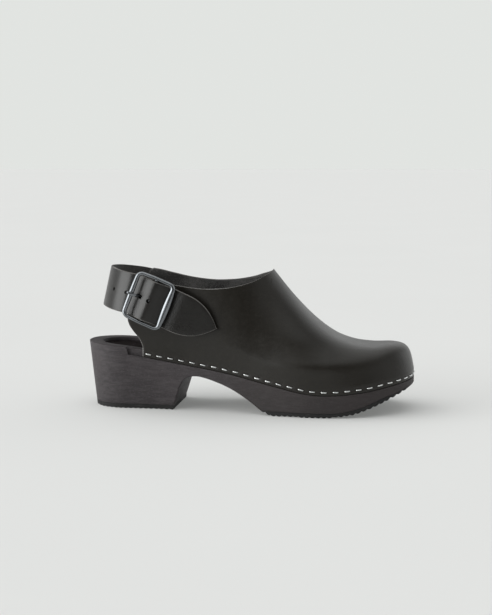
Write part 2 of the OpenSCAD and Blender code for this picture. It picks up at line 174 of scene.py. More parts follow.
def apply_booleans(ob, cutters, mode="DIFFERENCE", sharp=40):
    """Cuts (or joins) ob with the cutters, which are then removed."""
    for c in cutters:
        b = ob.modifiers.new("bool", "BOOLEAN")
        b.operation, b.object, b.solver, b.material_mode = mode, c, "EXACT", "TRANSFER"
        done = bpy.data.meshes.new_from_object(ob.evaluated_get(bpy.context.evaluated_depsgraph_get()))
        ob.modifiers.clear()
        ob.data = done
    for c in cutters:
        bpy.data.objects.remove(c)
    bm = bmesh.new()
    bm.from_mesh(ob.data)
    soften(bm, sharp)
    bm.to_mesh(ob.data)
    bm.free()
    return ob


def loop_faces(a, b, count):
    """Quads between two rings of points that start at a and b."""
    return [(a + k, a + (k + 1) % count, b + (k + 1) % count, b + k) for k in range(count)]


def sweep(path, normals, half_n, half_b, power, around, closed=False):
    """Points and faces of a superellipse section swept along a path; half_n is along the normals."""
    path, n = np.asarray(path, float), len(path)
    if closed:
        t = unit(np.roll(path, -1, 0) - np.roll(path, 1, 0))
    else:
        t = unit(np.gradient(path, axis=0))
    nn = unit(normals - t * np.sum(normals * t, -1, keepdims=True))
    bb = np.cross(t, nn)
    a = np.linspace(0, 2 * math.pi, around, endpoint=False)
    c = np.sign(np.cos(a)) * np.abs(np.cos(a)) ** (2 / power)
    s = np.sign(np.sin(a)) * np.abs(np.sin(a)) ** (2 / power)
    hn = np.broadcast_to(half_n, n)[:, None, None]
    hb = np.broadcast_to(half_b, n)[:, None, None]
    pts = path[:, None] + nn[:, None] * c[None, :, None] * hn + bb[:, None] * s[None, :, None] * hb
    faces = grid_faces(n, around, closed=True)
    last = (n - 1) * around
    if closed:
        faces += loop_faces(last, 0, around)
    else:
        faces += [tuple(range(around)), tuple(last + k for k in range(around))]
    return pts.reshape(-1, 3), faces


def rod(name, path, side, radius, mats, around=40):
    """A round rod along a path; side is a direction across it."""
    p, f = sweep(path, np.tile(side, (len(path), 1)), radius, radius, 2, around)
    return mesh_object(name, p, f, mats)


def prism(name, outline, half, place, mats, face_mats=None, sharp=40):
    """A straight body with an outline of (x, y), from -half to half along z, moved by place."""
    m = len(outline)
    p = [place((x, y, z)) for z in (-half, half) for x, y in outline]
    f = [tuple(range(m)), tuple(range(2 * m - 1, m - 1, -1))] + loop_faces(0, m, m)
    return mesh_object(name, p, f, mats, face_mats, sharp=sharp)


def lathe(name, profile, centre, mats):
    """Turns [radius, y] points round the Y axis through centre (x, z)."""
    pr = np.array(profile, float)
    a = np.linspace(0, 2 * math.pi, 64, endpoint=False)
    ring = np.stack([np.cos(a), np.zeros_like(a), np.sin(a)], 1)
    middle = np.array([centre[0], 0, centre[1]])
    pts = pr[:, 0, None, None] * ring[None] + middle + pr[:, 1, None, None] * [0, 1, 0]
    faces = grid_faces(len(pr), len(a), closed=True)
    return mesh_object(name, pts.reshape(-1, 3), faces, mats, sharp=35)


# ---- materials
class Nodes:
    """Short names for building a node tree."""

    def __init__(self, name, world=None):
        self.owner = world or bpy.data.materials.new(name)
        self.owner.use_nodes = True
        self.tree = self.owner.node_tree
        self.tree.nodes.clear()

    def add(self, kind, **values):
        node = self.tree.nodes.new("ShaderNode" + kind)
        for key, value in values.items():
            if hasattr(node, key):
                setattr(node, key, value)
            else:
                self.put(node, key.replace("_", " "), value)
        return node

    def put(self, node, key, value):
        """Links or sets an input, by its name or as i0, i1 and so on by its number."""
        socket = node.inputs[int(key[1:])] if key[0] == "i" and key[1:].isdigit() else node.inputs[key]
        if isinstance(value, bpy.types.NodeSocket):
            self.tree.links.new(value, socket)
        else:
            socket.default_value = (*value, 1) if socket.type == "RGBA" else value

    def math(self, operation, a, b):
        return self.add("Math", operation=operation, i0=a, i1=b).outputs[0]

    def ramp(self, value, low, high, to_low=0.0, to_high=1.0):
        return self.add("MapRange", interpolation_type="SMOOTHSTEP", Value=value, From_Min=low,
                        From_Max=high, To_Min=to_low, To_Max=to_high).outputs[0]

    def mix(self, fac, a, b):
        node = self.add("Mix", data_type="RGBA")
        self.put(node, "i0", fac)
        self.put(node, "i6", a)
        self.put(node, "i7", b)
        return node.outputs[2]

    def coords(self, scale=(1, 1, 1)):
        tex = self.add("TexCoord")
        return self.add("Mapping", Vector=tex.outputs["Object"], Scale=scale).outputs[0]

    def noise(self, vector, scale, detail=3.0, rough=0.5, distortion=0.0):
        return self.add("TexNoise", Vector=vector, Scale=scale, Detail=detail, Roughness=rough,
                        Distortion=distortion).outputs["Fac"]

    def voronoi(self, vector, scale, feature="F1"):
        return self.add("TexVoronoi", feature=feature, Vector=vector, Scale=scale).outputs["Distance"]

    def bump(self, height, strength, distance, normal=None):
        node = self.add("Bump", Height=height, Strength=strength, Distance=distance)
        if normal is not None:
            self.put(node, "Normal", normal)
        return node.outputs[0]

    def surface(self, colour, rough, normal=None, **values):
        shader = self.add("BsdfPrincipled")
        self.put(shader, "Base Color", colour)
        self.put(shader, "Roughness", rough)
        if normal is not None:
            self.put(shader, "Normal", normal)
        for key, value in values.items():
            self.put(shader, key.replace("_", " "), value)
        self.add("OutputMaterial", Surface=shader.outputs[0])
        return self.owner


def leather(name, base, lift, rough, shine, grain=0.14):
    """Smooth black leather: fine pores, faint creases, slow colour and gloss variation."""
    n = Nodes(name)
    v = n.coords()
    slow = n.noise(v, 22, 4, 0.55)
    fine = n.noise(v, 420, 3, 0.6)
    pores = n.voronoi(v, 1700)
    pebble = n.voronoi(v, 900, "SMOOTH_F1")
    tone = n.mix(n.ramp(slow, 0.35, 0.68), base, lift)
    tone = n.mix(n.ramp(fine, 0.45, 0.75, 0, 0.25), tone, [min(1, c * 1.5) for c in lift])
    gloss = n.ramp(slow, 0.3, 0.7, rough * 0.9, rough * 1.1)
    gloss = n.math("ADD", gloss, n.ramp(fine, 0.3, 0.7, -0.02, 0.02))
    creases = n.noise(n.coords((1, 1.6, 2.2)), 65, 5, 0.62, 0.6)
    normal = n.bump(creases, 0.10, 0.0016)
    normal = n.bump(pebble, grain * 0.5, 0.0002, normal)
    normal = n.bump(pores, grain, 0.00012, normal)
    return n.surface(tone, gloss, normal, Specular_IOR_Level=shine)


def suede(name, base, lift):
    """Flesh side of the leather: matte and fibrous."""
    n = Nodes(name)
    v = n.coords()
    fibres = n.noise(n.coords((1, 1, 2.5)), 900, 4, 0.7, 0.4)
    slow = n.noise(v, 45, 4, 0.6)
    nap = n.math("ADD", n.math("MULTIPLY", fibres, 0.6), n.math("MULTIPLY", slow, 0.4))
    tone = n.mix(n.ramp(nap, 0.41, 0.60), base, lift)
    return n.surface(tone, n.ramp(fibres, 0.2, 0.8, 0.88, 1.0), n.bump(fibres, 0.5, 0.0004),
                     Specular_IOR_Level=0.2, Sheen_Weight=0.25, Sheen_Roughness=0.5)


def cut_edge(name, base, lift):
    """Raw cut edge of the leather, in fine layers, with a painted highlight along the outer side."""
    n = Nodes(name)
    v = n.coords()
    layers = n.noise(v, 1500, 3, 0.7)
    slow = n.noise(v, 90, 3, 0.6)
    # the edges on the outer side are painted pale, a painted highlight where they catch the light; the inner
    # side's keep the dark base colour
    outer = n.ramp(n.add("SeparateXYZ", Vector=v).outputs[1], 0.0, -0.02)
    painted_highlight = n.math("MULTIPLY", n.ramp(layers, 0.35, 0.65, 0.5, 1), outer)
    painted_highlight = n.math("MULTIPLY", painted_highlight, n.ramp(slow, 0.35, 0.6, 0.6, 1))
    tone = n.mix(painted_highlight, base, lift)
    return n.surface(tone, n.ramp(layers, 0.3, 0.7, 0.55, 0.8), n.bump(layers, 0.5, 0.0003),
                     Specular_IOR_Level=0.4)


NAIL_SPOT = (-0.094, 0.018, 0.0441)


def wood(name, up_shade, shine):
    """Dark stained alder: long grain lines, sanding speckle, a dark nail spot and painted shade on faces
    turned up.
    """
    n = Nodes(name)
    v = n.coords((1, 3.2, 5.5))
    warp = n.noise(n.coords((1, 2, 2)), 14, 3, 0.5)
    rings = n.noise(v, 60, 6, 0.62, 1.2)
    streaks = n.noise(n.coords((0.9, 9, 16)), 55, 5, 0.7, 0.35)
    speck = n.noise(n.coords((1.4, 3, 3)), 620, 3, 0.75)
    pores = n.voronoi(n.coords((0.35, 2.2, 2.2)), 700)
    tone = n.mix(n.ramp(rings, 0.32, 0.7), (0.032, 0.0275, 0.029), (0.055, 0.048, 0.0505))
    tone = n.mix(n.ramp(streaks, 0.4, 0.72, 0, 0.25), tone, (0.026, 0.021, 0.022))
    tone = n.mix(n.ramp(speck, 0.50, 0.72, 0, 0.7), tone, (0.100, 0.088, 0.096))
    tone = n.mix(n.ramp(warp, 0.45, 0.75, 0, 0.5), tone, (0.058, 0.048, 0.050))
    tone = n.mix(n.ramp(pores, 0.0, 0.16, 0.55, 0), tone, (0.012, 0.010, 0.011))
    # the forefoot is darker and warmer than the heel block
    place = n.add("SeparateXYZ", Vector=n.coords()).outputs
    tone = n.mix(n.ramp(place[0], -0.05, 0.02, 0, 0.5), tone, (0.024, 0.020, 0.018))
    # faces turned up are painted darker, as shade, and are duller
    up = n.add("SeparateXYZ", Vector=n.add("NewGeometry").outputs["Normal"]).outputs[2]
    tone = n.mix(n.ramp(up, 0.6, 0.95, up_shade, up_shade + 0.25), tone, (0.012, 0.010, 0.009))
    spot = n.add("VectorMath", operation="DISTANCE", i0=n.coords(), i1=NAIL_SPOT).outputs["Value"]
    tone = n.mix(n.ramp(spot, 0.0013, 0.0008), tone, (0.004, 0.004, 0.004))
    rough = n.math("ADD", n.ramp(streaks, 0.3, 0.7, 0.52, 0.66), n.ramp(speck, 0.4, 0.7, 0, 0.08))
    rough = n.math("ADD", rough, n.ramp(up, 0.6, 0.95, 0, 0.26))
    normal = n.bump(streaks, 0.35, 0.0005)
    normal = n.bump(n.ramp(pores, 0.0, 0.2), 0.3, 0.0003, normal)
    normal = n.bump(speck, 0.25, 0.0002, normal)
    return n.surface(tone, rough, normal, Specular_IOR_Level=shine)


def rubber():
    """Black tread rubber with grey dust."""
    n = Nodes("tread_rubber")
    v = n.coords()
    dust = n.noise(v, 160, 5, 0.65)
    fine = n.noise(v, 1400, 3, 0.6)
    tone = n.mix(n.ramp(dust, 0.45, 0.75), (0.012, 0.012, 0.012), (0.032, 0.031, 0.030))
    return n.surface(tone, n.ramp(dust, 0.3, 0.7, 0.62, 0.82), n.bump(fine, 0.35, 0.0002),
                     Specular_IOR_Level=0.35)


def metal(name, base, worn, rough):
    """Polished metal with faint rubbed patches and fine scratches."""
    n = Nodes(name)
    v = n.coords()
    patches = n.noise(v, 60, 3, 0.5)
    lines = n.noise(n.coords((1, 1, 6)), 900, 3, 0.6, 0.3)
    tone = n.mix(n.ramp(patches, 0.35, 0.75), base, worn)
    gloss = n.ramp(patches, 0.3, 0.7, rough - 0.02, rough + 0.03)
    gloss = n.math("ADD", gloss, n.ramp(lines, 0.3, 0.7, -0.015, 0.02))
    return n.surface(tone, gloss, n.bump(lines, 0.12, 0.00008), Metallic=1.0)


def puff_board():
    """Pressed fibre board of the toe puff."""
    n = Nodes("puff_board")
    felt = n.noise(n.coords(), 700, 4, 0.7)
    return n.surface(n.mix(n.ramp(felt, 0.3, 0.7), (0.20, 0.17, 0.13), (0.30, 0.27, 0.21)),
                     n.ramp(felt, 0.3, 0.7, 0.85, 0.95), n.bump(felt, 0.4, 0.0002))


UPPER_SKIN = leather("upper_leather", (0.0108, 0.0092, 0.0068), (0.0150, 0.0131, 0.0103), 0.33, 0.34)
STRAP_SKIN = leather("strap_leather", (0.0052, 0.0043, 0.0033), (0.0076, 0.0067, 0.0056), 0.30, 0.44,
                     grain=0.45)
SUEDE = suede("leather_flesh_side", (0.028, 0.027, 0.026), (0.105, 0.101, 0.098))
# these cut edges carry a painted highlight along the outer side
CUT_EDGE = cut_edge("leather_cut_edge", (0.024, 0.022, 0.020), (0.48, 0.47, 0.45))
STRAP_EDGE = cut_edge("strap_cut_edge", (0.013, 0.012, 0.011), (0.16, 0.152, 0.144))
HOLE_EDGE = cut_edge("punched_edge", (0.006, 0.006, 0.006), (0.05, 0.048, 0.045))
WOOD = wood("stained_wood", 0.0, 0.32)
# the foot-bed's hollow: the same wood with more painted shade on its faces turned up
SHADED_CUP_WOOD = wood("footbed_wood_shaded", 0.5, 0.0)
RUBBER = rubber()
STAPLE = metal("staple_steel", (0.72, 0.73, 0.73), (0.86, 0.87, 0.86), 0.28)
BUCKLE = metal("buckle_metal", (0.17, 0.18, 0.19), (0.225, 0.235, 0.248), 0.20)
NAIL = metal("nail_steel", (0.35, 0.35, 0.35), (0.5, 0.5, 0.5), 0.4)
BOARD = puff_board()


# ---- wooden sole and rubber
HEEL_FRONT, BREAST_TOP, ARCH_LAST, TIP_STEP, EDGE_R = BREAST[0][0], BREAST[-1][0], ARCH_Z[-1][0], 0.3, 0.55


def tread(s):
    return np.maximum(0, curve(TREAD_Z, s))


def rubber_thick(s):
    return RUBBER_T - (RUBBER_T - TIP_T) * smooth((s - THIN_FROM) / THIN_OVER)


def sole_bottom(s):
    """Height of the wood's underside at stations s."""
    rub = rubber_thick(s)
    step = np.maximum(0, rub * (1 - (s - TREAD_END) / TIP_STEP))
    front = tread(s) + np.where(s <= TREAD_END, rub, step)
    brk = np.interp(s, [b[0] for b in BREAST], [b[1] for b in BREAST])
    waist = np.where(s < ARCH_LAST, curve(ARCH_Z, s), RUBBER_T)
    waist = np.where(s < ARCH_END, waist, front)
    return np.where(s < HEEL_FRONT, RUBBER_T, np.where(s < BREAST_TOP, brk, waist))


def outline_stations(extra=(), start=0.0, end=L, n=190):
    """Stations from start to end, closest at the sole's ends, with some extra ones."""
    u = np.linspace(0, 1, n + 1)
    s = L / 2 * (1 - np.cos(math.pi * u))
    s = np.concatenate([s, np.asarray(extra, float), [start, end]])
    return np.unique(np.round(s[(s >= start) & (s <= end)], 4))


def wall_xy(s, side, z):
    """Point of the sole's side wall at a height; the heel block narrows towards the floor."""
    drop = 1 - z / 46
    heel = 1 - smooth((s - 58) / 46)
    back = (1 - np.clip(s / 70, 0, 1)) ** 2
    y = mid_y(s) + (edge_y(s, side) - mid_y(s)) * (1 - 0.13 * drop * heel)
    return x_at(s) + 5 * drop * back, y


def loop(s):
    """Stations and sides round the sole, outer side from heel to toe, then back along the inner side."""
    st = np.concatenate([s, s[-2:0:-1]])
    side = np.concatenate([-np.ones(len(s)), np.ones(len(s) - 2)])
    return st, side


def inset(p, d):
    """Moves the points of a closed outline inwards by d."""
    t = unit(np.roll(p, -1, 0) - np.roll(p, 1, 0))
    return p + np.asarray(d)[..., None] * np.stack([-t[:, 1], t[:, 0]], 1)


def across(ring_a, n_side, start, n_across, sag):
    """Extra points and faces that close a ring by strips from its outer to its inner side."""
    count = 2 * (n_side - 1)
    pts, faces = [], []

    def index(i, m):
        if m == 0 or i in (0, n_side - 1):
            return start + i
        if m == n_across:
            return start + count - i
        return start + count + (i - 1) * (n_across - 1) + (m - 1)

    for i in range(1, n_side - 1):
        a, b = ring_a[i], ring_a[count - i]
        for m in range(1, n_across):
            f = m / n_across
            p = a * (1 - f) + b * f
            pts.append(p - np.array([0, 0, sag(i, f)]))
    for i in range(n_side - 1):
        for m in range(n_across):
            q = [index(i, m), index(i, m + 1), index(i + 1, m + 1), index(i + 1, m)]
            q = [v for k, v in enumerate(q) if v != q[k - 1]]
            if len(q) > 2:
                faces.append(tuple(q))
    return pts, faces


def rings_mesh(name, rings, n_side, mats, top_sag):
    """Closed body from a stack of rings, bottom to top, closed across its first and last rings."""
    count = 2 * (n_side - 1)
    pts = np.concatenate(rings)
    faces = grid_faces(len(rings), count, closed=True)
    extra, more = across(rings[-1], n_side, (len(rings) - 1) * count, 16, top_sag)
    faces += more
    pts = np.concatenate([pts, np.array(extra)])
    # the bottom is built with its own copy of the first ring, welded later
    extra, more = across(rings[0], n_side, len(pts), 10, lambda i, f: 0.0)
    faces += more
    pts = np.concatenate([pts, rings[0], np.array(extra)])
    return mesh_object(name, pts, faces, mats)


def sole_piece():
    """Carved wood: side wall, rabbet, rim and the foot-bed's hollow, as a stack of rings."""
    s = outline_stations(extra=np.concatenate([
        np.linspace(30, 38, 17), [33.9, 34.1], np.linspace(68, 84, 49), np.linspace(139, 146, 15),
        [TREAD_END - 0.05, TREAD_END, TREAD_END + 0.15, TREAD_END + TIP_STEP]]))
    st, side = loop(s)
    under = sole_bottom(st)
    rabbet = smooth((st - RABBET_FROM) / RABBET_OVER)
    wall_top = curve(LEDGE_Z, st) + RABBET_H * (1 - rabbet)
    rings = []
    # rounded lower edge, then the side wall
    for d, up in ((EDGE_R, 0.0), (0.16, 0.16), (0.0, EDGE_R)):
        p = inset(np.stack(wall_xy(st, side, under), 1), d)
        rings.append(np.column_stack([p, under + up]))
    for f in np.linspace(0, 1, 13)[1:]:
        z = under + EDGE_R + (wall_top - 0.45 - under - EDGE_R) * f
        rings.append(np.column_stack([*wall_xy(st, side, z), z]))

    edge = np.stack([x_at(st), edge_y(st, side)], 1)
    rim_at = lambda q: curve(LEDGE_Z, q) + RABBET_H
    deep = lambda q: smooth((q - RABBET_FROM) / RABBET_OVER)
    floor_at = lambda q: rim_at(q) - RABBET_H * deep(q)

    def inner(d, z_at):
        p = inset(edge, d)
        rings.append(np.column_stack([p, z_at(p[:, 0] + L / 2)]))

    # the rabbet's floor and its rounded step up to the rim
    inner(0.14, lambda q: floor_at(q) - 0.14)
    inner(0.5, floor_at)
    inner(RABBET_D * rabbet + 0.6 * (1 - rabbet), floor_at)
    inner(RABBET_D * rabbet + 0.8 * (1 - rabbet), lambda q: rim_at(q) - 0.3 * deep(q))
    inner(2.6, rim_at)
    # the hollow, which fades out under the ball of the foot
    hollow = lambda q: 1 - smooth((q - 116) / 34)
    for d, down in ((6.0, 0.0), (9.3, 0.05), (9.8, 0.2), (10.05, 0.7), (10.25, 2.2), (10.6, 3.0),
                    (11.4, 3.45), (14.0, 3.7)):
        inner(d, lambda q, down=down: rim_at(q) - down * hollow(q))
    sag = lambda i, f: 0.3 * hollow(s[i]) * 4 * f * (1 - f)
    ob = rings_mesh("sole_wood", rings, len(s), [WOOD, SHADED_CUP_WOOD], sag)
    # the hollow's own wood, with more painted shade: faces turned up, below the rim and 9 mm inside the edge
    for f in ob.data.polygons:
        q = f.center / MM
        rim = float(rim_at(q.x + L / 2))
        half = abs(float(edge_y(q.x + L / 2, math.copysign(1, q.y))))
        if f.normal.z > 0.3 and 20 < q.z < rim - 1.2 and abs(q.y) < half - 9:
            f.material_index = 1
    return ob


def tread_depth(s, y, depth):
    """Rows of small rounded lugs, 4.2 mm apart, broken by channels along the shoe every 15 mm."""
    row = np.abs(np.sin(math.pi * s / 4.2)) ** 0.8
    lane = smooth((np.abs(((y / 15.0 + 0.5) % 1.0) - 0.5) * 15.0 - 0.5) / 0.7)
    return depth * (1 - row * lane)


def rubber_piece(name, start, end, top_z, bottom_z, lugs):
    """A layer of rubber between two heights, with lugs underneath."""
    s = outline_stations(start=start, end=end, extra=np.arange(start, end, 0.42), n=240)
    z_top, z_bot = top_z(s), bottom_z(s)
    f = (np.linspace(-1, 1, 61) + 1) / 2
    grids = []
    for z_face, is_top in ((z_bot, False), (z_top, True)):
        xl, yl = wall_xy(s, np.full(len(s), -1), z_face)
        xr, yr = wall_xy(s, np.full(len(s), 1), z_face)
        x = xl[:, None] * (1 - f) + xr[:, None] * f
        y = yl[:, None] * (1 - f) + yr[:, None] * f
        z = np.repeat(z_face[:, None], len(f), 1)
        if not is_top:
            room = np.maximum(0, (z_top - z_bot - 0.25))[:, None]
            z = z + np.minimum(tread_depth(s[:, None], y, depth=lugs), room)
        grids.append(np.stack([x, y, z], -1))
    ns, nf = grids[0].shape[:2]
    o = ns * nf
    pts = np.concatenate([grids[0].reshape(-1, 3), grids[1].reshape(-1, 3)])
    faces = grid_faces(ns, nf) + grid_faces(ns, nf, start=o)
    rim = [(i * nf + c, (i + 1) * nf + c) for i in range(ns - 1) for c in (0, nf - 1)]
    rim += [(i * nf + c, i * nf + c + 1) for i in (0, ns - 1) for c in range(nf - 1)]
    faces += [(a, b, o + b, o + a) for a, b in rim]
    return mesh_object(name, pts, faces, [RUBBER], sharp=50)


sole = sole_piece()
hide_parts("wooden_sole")
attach(sole, "shoe")

# the outsole's rear end feathers out over FEATHER; GLUE keeps the faces of rubber and wood apart
FEATHER, GLUE = 7.4, 0.01


def outsole_under(s):
    rear = (RUBBER_T - 2 * GLUE) * (1 - (s - TREAD_FROM) / FEATHER)
    return np.where(s < TREAD_FROM + FEATHER, rear, tread(s))


outsole = rubber_piece(
    "outsole_rubber", TREAD_FROM, TREAD_END,
    lambda s: np.where(s < ARCH_END, RUBBER_T, tread(s) + rubber_thick(s)) - GLUE, outsole_under, 1.1)
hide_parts("forefoot_outsole")
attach(outsole, "shoe")

top_lift = rubber_piece(
    "top_lift_rubber", 0.0, HEEL_FRONT,
    lambda s: np.full(len(s), RUBBER_T - GLUE), lambda s: np.zeros(len(s)), 0.7)
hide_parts("heel_top_lift")
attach(top_lift, "shoe")

# ---- upper
# the skin is a grid: columns round the shoe, REAR and TOE of them a side, and rows up it
REAR, TOE, OUT_ROWS, WALL_ROWS = 110, 150, 64, 9
HALF = REAR + TOE


def col_s(i):
    """Station of column i, counted from the rear edge to the toe."""
    i = np.asarray(i, float)
    rear = QUARTER + (THROAT - QUARTER) * np.sin(np.radians(90 * np.minimum(i, REAR) / REAR))
    toe = THROAT + (L - THROAT) * np.sin(np.radians(90 * np.maximum(i - REAR, 0) / TOE))
    return np.where(i <= REAR, rear, toe)


def spine_s(s):
    """Station of the ridge that the section at s rises to; it lags behind round the toe."""
    length = L - SPINE_FROM
    u = np.maximum(0, (s - SPINE_FROM) / length)
    return np.where(s <= SPINE_FROM, s, SPINE_FROM + length * (u - u * u / 2))


def root_z(s):
    """Height where the upright wall ends and the rounded section starts."""
    return curve(LEDGE_Z, s) + WALL_H


def end_angle(s):
    """Angle of the section, in degrees, at which the topline cuts it."""
    n = curve(FULLNESS, s)
    t = np.minimum(1 - 1e-9, (curve(TOPLINE_Z, s) - root_z(s)) / (curve(RIDGE_Z, s) - root_z(s)))
    return np.where(s >= THROAT, 90.0, np.degrees(np.arctan2(t, (1 - t ** n) ** (1 / n))))


def row_angle(s, v):
    """Section angle at row height v, from 0 at the wall to 1 at the topline."""
    e = end_angle(s)
    w = np.minimum(90, 1.45 * e)
    return w * v - (w - e) * v ** 3


def section(s, a):
    """Shares across and up of the superellipse section at angle a."""
    n = curve(FULLNESS, spine_s(s))
    c, q = np.maximum(np.cos(np.radians(a)), 0), np.maximum(np.sin(np.radians(a)), 0)
    r = (c ** n + q ** n) ** (1 / n)
    return c / r, q / r


def shifted_s(s, v):
    """Moves the columns so that the first one follows the quarter's rear edge."""
    _, up = section(QUARTER, row_angle(QUARTER, v))
    z = root_z(QUARTER) + (curve(RIDGE_Z, QUARTER) - root_z(QUARTER)) * up
    return s + (curve(REAR_EDGE, z) - QUARTER) * np.clip(1 - (s - QUARTER) / 60, 0, 1)


def skin_row(v, d, foot=None):
    """Points round the upper at row height v, d inside its surface; foot is a share of the wall's height."""
    st = shifted_s(col_s(np.arange(HALF + 1)), v)
    s = np.concatenate([st, st[-2::-1]])
    side = np.concatenate([-np.ones(HALF + 1), np.ones(HALF)])
    run = np.stack([x_at(s), edge_y(s, side)], 1)
    t = np.empty_like(run)
    t[1:-1] = run[2:] - run[:-2]
    t[0], t[-1] = run[1] - run[0], run[-1] - run[-2]
    t = unit(t)
    base = run + d * np.stack([-t[:, 1], t[:, 0]], 1)
    wide, up = section(s, row_angle(s, v))
    c = np.stack([x_at(spine_s(s)), mid_y(spine_s(s))], 1)
    p = c + (base - c) * (wide * (1 - curve(TOE_LEAN, s) * up))[:, None]
    top = curve(RIDGE_Z, p[:, 0] + L / 2)
    z = root_z(s) + (top - 1.15 * d - root_z(s)) * up
    z = z + np.where(side > 0, INNER_LIFT, 0) * v ** 2 * (1 - smooth((s - 132) / 12))
    if foot is not None:
        z = curve(LEDGE_Z, s) + LAY + (WALL_H - LAY) * foot
    out = side * FLARE * wide * (1 - smooth((s - 90) / 60)) * smooth((z - root_z(s)) / 30)
    return np.stack([p[:, 0], p[:, 1] + out, z], 1)


def skin(d):
    """The whole skin, d inside the outer surface, row by row."""
    rows = [skin_row(0.0, d, f) for f in np.linspace(0, 1, WALL_ROWS + 1)]
    rows += [skin_row(v, d) for v in np.linspace(0, 1, OUT_ROWS + 1)[1:]]
    return np.array(rows)


SHOULDER_Z = [[100, 55], [112, 51], [127, 46], [142, 41], [157, 38.6], [171, 37.8], [185, 38.4], [200, 40.2],
              [218, 42.4], [231, 43.6], [244, 46]]
SHOULDER_OUT = [[100, 0], [125, 0.35], [150, 0.8], [175, 1], [225, 0.9], [238, 0.5], [248, 0]]


def shoulder(outer):
    """The line where the upper's wall turns over into its top: fullest there, slightly hollow over it."""
    along, up = np.gradient(outer, axis=1), np.gradient(outer, axis=0)
    n = np.cross(along, up)
    n[..., 2] = 0
    n = unit(n)
    s = outer[..., 0] + L / 2
    h = outer[..., 2] - curve(SHOULDER_Z, s)
    bulge = np.where(h > 0, np.exp(-(h / 4.5) ** 2), np.exp(-(h / 6.5) ** 2))
    hollow = 0.45 * np.exp(-((h - 12) / 6) ** 2)
    low = smooth((outer[..., 2] - root_z(s) + 2) / 5)
    return (curve(SHOULDER_OUT, s) * (bulge - hollow) * low)[..., None] * n


def upper_piece():
    """Outer skin, flesh side and the cut edges between them."""
    outer, inner = skin(LAY), skin(LAY + LEATHER_T)
    nr, nc = outer.shape[:2]
    outer = outer + shoulder(outer)
    outer = outer + dents(outer)
    # the lower cut edge is rounded, which leaves a fine groove above the wood
    for row, (d, f) in enumerate(((0.55, 0.0), (0.12, 0.07))):
        outer[row] = skin_row(0.0, LAY + d, f)
    pts = [outer.reshape(-1, 3), inner.reshape(-1, 3)]
    faces = grid_faces(nr, nc)
    # the cut edge, with its painted highlight, turns a little over onto the skin along the outer side's
    # topline, as a pale painted line
    face_mats = [2 if f[2] >= (nr - 1) * nc and (f[0] % nc) < REAR else 0 for f in faces]
    faces += grid_faces(nr, nc, start=nr * nc)
    face_mats += [1] * (len(faces) - len(face_mats))
    o = nr * nc
    for k in range(nc - 1):
        faces.append((k, k + 1, o + k + 1, o + k))
    face_mats += [2] * (nc - 1)
    # the cut edge: up the rear, along the topline to the throat, back and down the other side
    def border(j, k):
        out = np.zeros(3)
        if j == nr - 1:
            out = out + unit(outer[j, k] - outer[j - 3, k])
        if k == 0:
            out = out + unit(outer[j, k] - outer[j, k + 1])
        if k == nc - 1:
            out = out + unit(outer[j, k] - outer[j, k - 1])
        return unit(out)

    left = [(j, 0) for j in range(nr)] + [(nr - 1, k) for k in range(1, REAR + 1)]
    right = [(nr - 1, nc - 1 - k) for k in range(REAR, 0, -1)] + [(j, nc - 1) for j in range(nr - 1, -1, -1)]
    spots = (0.93, 0.62, 0.0, -0.62, -0.93)
    first = 2 * o
    for run in (left, right):
        rings = []
        for j, k in run:
            e = border(j, k)
            if (j, k) in ((nr - 1, REAR), (nr - 1, nc - 1 - REAR)):
                e = unit(np.array([-0.6, 0.0, 0.8]))
            a, b = outer[j, k], inner[j, k]
            m, h = (a + b) / 2, (a - b) / 2
            pts.append(np.array([m + q * h + 0.38 * (1 - q ** 4) * e for q in spots]))
            rings.append([j * nc + k, *range(first, first + len(spots)), o + j * nc + k])
            first += len(spots)
        for a, b in zip(rings[:-1], rings[1:]):
            faces += [(a[q], b[q], b[q + 1], a[q + 1]) for q in range(len(a) - 1)]
    face_mats += [2] * (len(faces) - len(face_mats))
    return mesh_object("upper_leather", np.concatenate(pts), faces, [UPPER_SKIN, SUEDE, CUT_EDGE], face_mats,
                       sharp=60)


# ---- staples
STAPLE_COUNT, STAPLE_D, STAPLE_REACH, LEG, STAPLE_UP, STAPLE_FROM = 54, 1.0, 1.75, 5.0, 2.9, QUARTER + 4


def staple_places():
    """Centre, direction angle and slope of each staple along the upper's lower edge."""
    a = np.arange(0, 241) / 120
    s = STAPLE_FROM + (L - STAPLE_FROM) * np.sin(np.radians(90 * np.where(a <= 1, a, 2 - a)))
    side = np.where(a <= 1, -1.0, 1.0)
    p = np.stack([x_at(s), edge_y(s, side), curve(LEDGE_Z, s) + STAPLE_UP], 1)
    run = np.concatenate([[0], np.cumsum(np.linalg.norm(np.diff(p, axis=0), axis=1))])
    places = []
    for n in range(STAPLE_COUNT):
        l = run[-1] * n / (STAPLE_COUNT - 1)
        i = int(np.clip(np.searchsorted(run, l, side="right") - 1, 0, len(a) - 2))
        t = (l - run[i]) / (run[i + 1] - run[i])
        step = p[i + 1] - p[i]
        angle = math.atan2(step[1], step[0])
        slope = math.atan2(step[2], math.hypot(step[0], step[1]))
        centre = p[i] + t * step + (STAPLE_D / 2 - 0.2) * np.array([math.sin(angle), -math.cos(angle), 0])
        places.append((centre, angle, slope))
    return places


PLACES = staple_places()


def dents(outer):
    """Small pull of the leather round each staple's two legs, on the lowest rows."""
    rows = WALL_ROWS + 8
    low = outer[:rows].reshape(-1, 3)
    push = np.zeros_like(low)
    for centre, angle, _ in PLACES:
        along = np.array([math.cos(angle), math.sin(angle), 0.0])
        inward = np.array([-math.sin(angle), math.cos(angle), 0.0])
        for e in (-1, 1):
            d2 = np.sum((low - (centre + e * STAPLE_REACH * along)) ** 2, 1)
            push += 0.34 * np.exp(-d2 / 1.1)[:, None] * inward
    move = np.zeros_like(outer)
    move[:rows] = push.reshape(rows, -1, 3)
    return move


upper = upper_piece()
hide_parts("upper")
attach(upper, "shoe")


